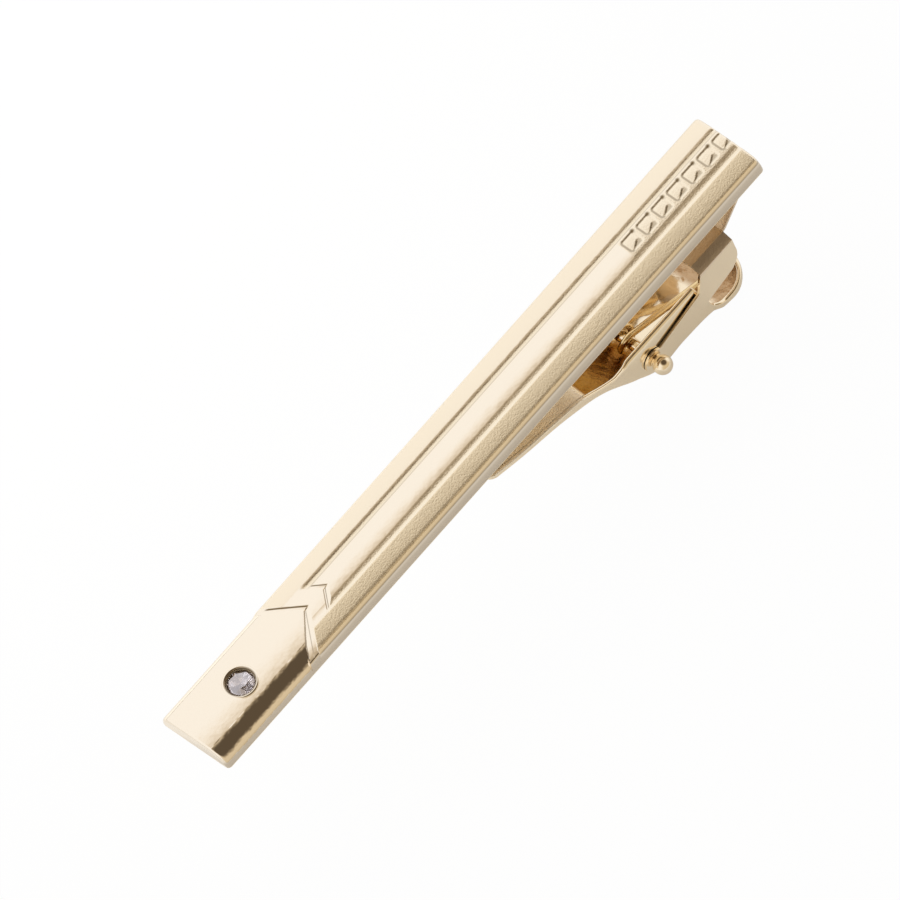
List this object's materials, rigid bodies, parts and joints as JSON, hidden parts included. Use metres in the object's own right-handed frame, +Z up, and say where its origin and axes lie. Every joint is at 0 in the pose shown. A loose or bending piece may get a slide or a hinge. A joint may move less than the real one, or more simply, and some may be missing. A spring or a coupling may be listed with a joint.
{
  "type": "tie clip",
  "caption": "Slim domed bar with a chevron end, a raised panel, a key border and a set crystal, carrying a sprung toothed jaw underneath that clamps a tie to a shirt front.",
  "frame": {"origin": "under the middle of the bar, at the level of the lowest point of the thumb tray", "axes": "+X along the bar to the key-border end, +Y across the bar, +Z up through the decorated face"},
  "size_m": [0.058, 0.0092, 0.0106],
  "materials": {
    "gold_plate": "polished with satin bands",
    "gold_plate_clip": "barrel-polished plate",
    "plated_spring_wire": "gold-washed spring wire",
    "solder": "matt solder",
    "clear_cement": "clear epoxy",
    "cut_glass": "faceted and polished"
  },
  "bodies": {
    "bar": {"front_bar": "gold_plate", "crystal": "cut_glass", "crystal_cement": "clear_cement", "clip_bracket": "gold_plate_clip", "bracket_solder": "solder", "hinge_pin": "gold_plate_clip", "pin_ball_near": "gold_plate_clip", "pin_ball_far": "gold_plate_clip", "torsion_spring": "plated_spring_wire"},
    "jaw": {"jaw_lever": "gold_plate_clip"}
  },
  "joints": [
    {"name": "jaw_hinge", "type": "hinge", "parent": "bar", "child": "jaw", "pos_m": [0.0149, 0, 0.0025], "axis": [0, -1, 0], "range_deg": [0, 12], "stiffness_Nm_per_rad": 0.0008, "springref_deg": -14.9, "deforming": ["torsion_spring"]}
  ]
}
